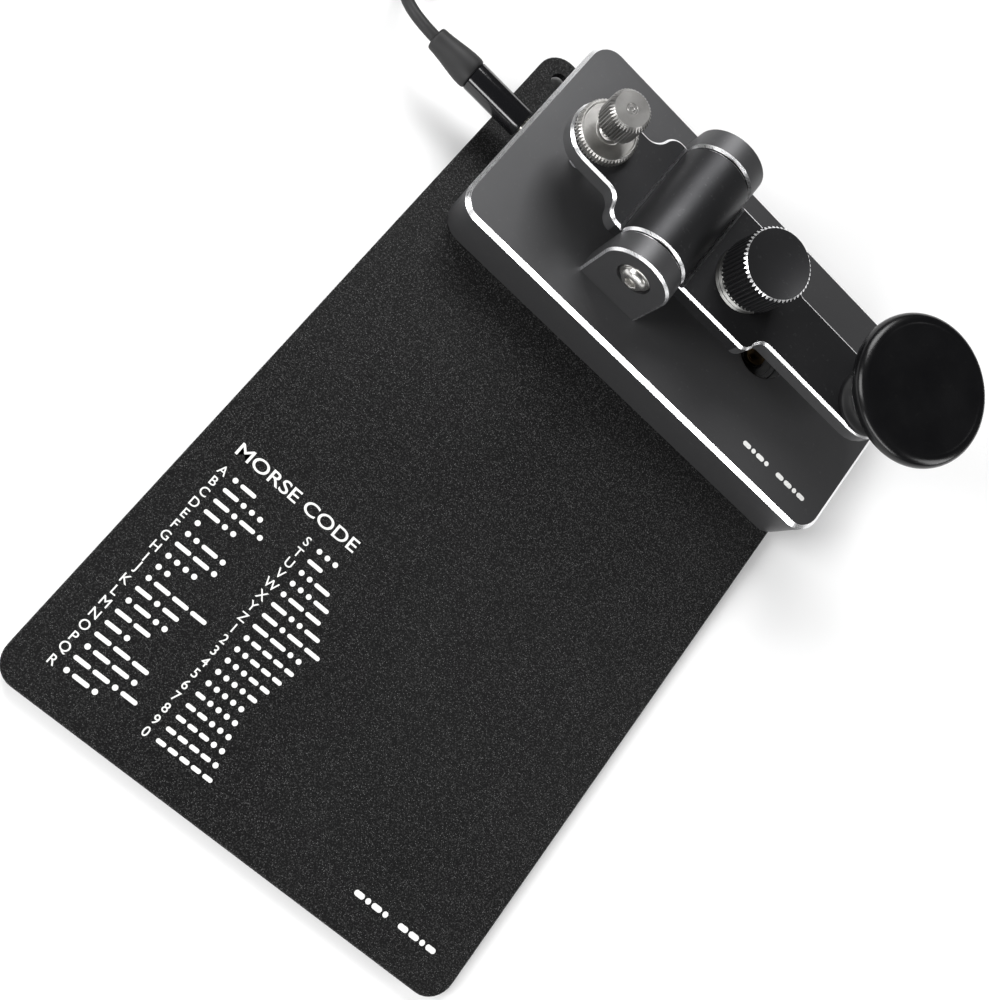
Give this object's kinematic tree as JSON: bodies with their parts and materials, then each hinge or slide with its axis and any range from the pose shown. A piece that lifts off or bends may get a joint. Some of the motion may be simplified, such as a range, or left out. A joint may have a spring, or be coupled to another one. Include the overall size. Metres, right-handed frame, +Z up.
{
  "type": "morse key",
  "caption": "Straight morse key: pivoted lever with round finger knob, spring tension knob and gap screw on a metal block, on a desk plate with a printed code chart; lead with plugs.",
  "frame": {"origin": "middle of the footprint of the plate, key block and knob (without the lead), on the surface that the feet stand on", "axes": "+X along the lever towards the finger knob, +Y from the chart's end of the plate towards the key, +Z up"},
  "size_m": [0.1788, 0.184, 0.0441],
  "materials": {
    "powder_coat": "fine-textured matt black powder coat with a printed chart",
    "foot_rubber": "matt",
    "black_anodised": "bead-blasted black anodised with bright cut chamfers",
    "nickel": "nickel plated, turned",
    "steel": "plain machined",
    "contact_brass": "machined",
    "gloss_black": "polished",
    "matte_black": "moulded",
    "nylon": "black nylon, moulded",
    "red_wire": "insulation",
    "black_wire": "insulation",
    "cord_rubber": "satin jacket"
  },
  "bodies": {
    "base": {"base_plate": "powder_coat", "foot_1": "foot_rubber", "foot_2": "foot_rubber", "foot_3": "foot_rubber", "foot_4": "foot_rubber", "key_block": "black_anodised", "bottom_cover": "black_anodised", "cover_screw_1": "steel", "cover_screw_2": "steel", "cover_screw_3": "steel", "cover_screw_4": "steel", "magnet_1": "nickel", "magnet_2": "nickel", "magnet_3": "nickel", "magnet_4": "nickel", "stop_anvil": "steel", "jack_body": "matte_black", "jack_tip_spring": "contact_brass", "contact_bush": "nylon", "fixed_contact": "contact_brass", "solder_tag": "contact_brass", "signal_wire": "red_wire", "ground_wire": "black_wire", "ground_screw": "steel", "tension_spring": "steel", "axle_spacer": "steel", "pivot_screw_left": "nickel", "pivot_screw_right": "nickel", "bearing_inner_ring_left": "steel", "bearing_inner_ring_right": "steel", "bearing_balls_left": "steel", "bearing_balls_right": "steel"},
    "lever": {"lever": "black_anodised", "moving_contact": "contact_brass", "finger_knob": "gloss_black", "knob_insert": "contact_brass", "knob_screw": "steel", "bearing_outer_ring_left": "steel", "bearing_outer_ring_right": "steel"},
    "spring_washer": {"thrust_washer": "steel"},
    "tension_knob": {"tension_knob": "black_anodised"},
    "gap_screw": {"gap_screw": "nickel"},
    "gap_nut": {"gap_lock_nut": "nickel"},
    "lead": {"plug_pin": "nickel", "plug_barrel": "gloss_black", "plug_boot": "cord_rubber", "cord_lead": "cord_rubber", "cord_coil": "cord_rubber", "cord_tail": "cord_rubber", "cable_tie": "matte_black", "far_pin": "nickel", "far_barrel": "gloss_black", "far_boot": "cord_rubber"}
  },
  "joints": [
    {"name": "lever_pivot", "type": "hinge", "parent": "base", "child": "lever", "pos_m": [-0.01345, 0.0568, 0.0269], "axis": [0, 1, 0], "range_deg": [0, 1.4], "stiffness_Nm_per_rad": 0.418, "springref_deg": -8.19, "deforming": ["tension_spring"]},
    {"name": "tension_travel", "type": "slide", "parent": "lever", "child": "spring_washer", "axis": [0, 0, 1], "range_m": [-0.00225, 0.00075], "deforming": ["tension_spring"]},
    {"name": "tension_turn", "type": "hinge", "parent": "spring_washer", "child": "tension_knob", "pos_m": [0.00325, 0.0568, 0.0303], "axis": [0, 0, 1], "range_deg": [-1080, 360]},
    {"name": "gap_screw_turn", "type": "hinge", "parent": "lever", "child": "gap_screw", "pos_m": [-0.03445, 0.0568, 0.03], "axis": [0, 0, 1], "range_deg": [-180, 180]},
    {"name": "gap_nut_turn", "type": "hinge", "parent": "lever", "child": "gap_nut", "pos_m": [-0.03445, 0.0568, 0.0288], "axis": [0, 0, 1], "range_deg": [-180, 180]},
    {"name": "plug_pull", "type": "slide", "parent": "base", "child": "lead", "axis": [-1, 0, 0], "range_m": [0, 0.0145]}
  ],
  "couplings": [
    {"joint": "tension_turn", "follows": "tension_travel", "rad_per_m": 8377.6}
  ]
}
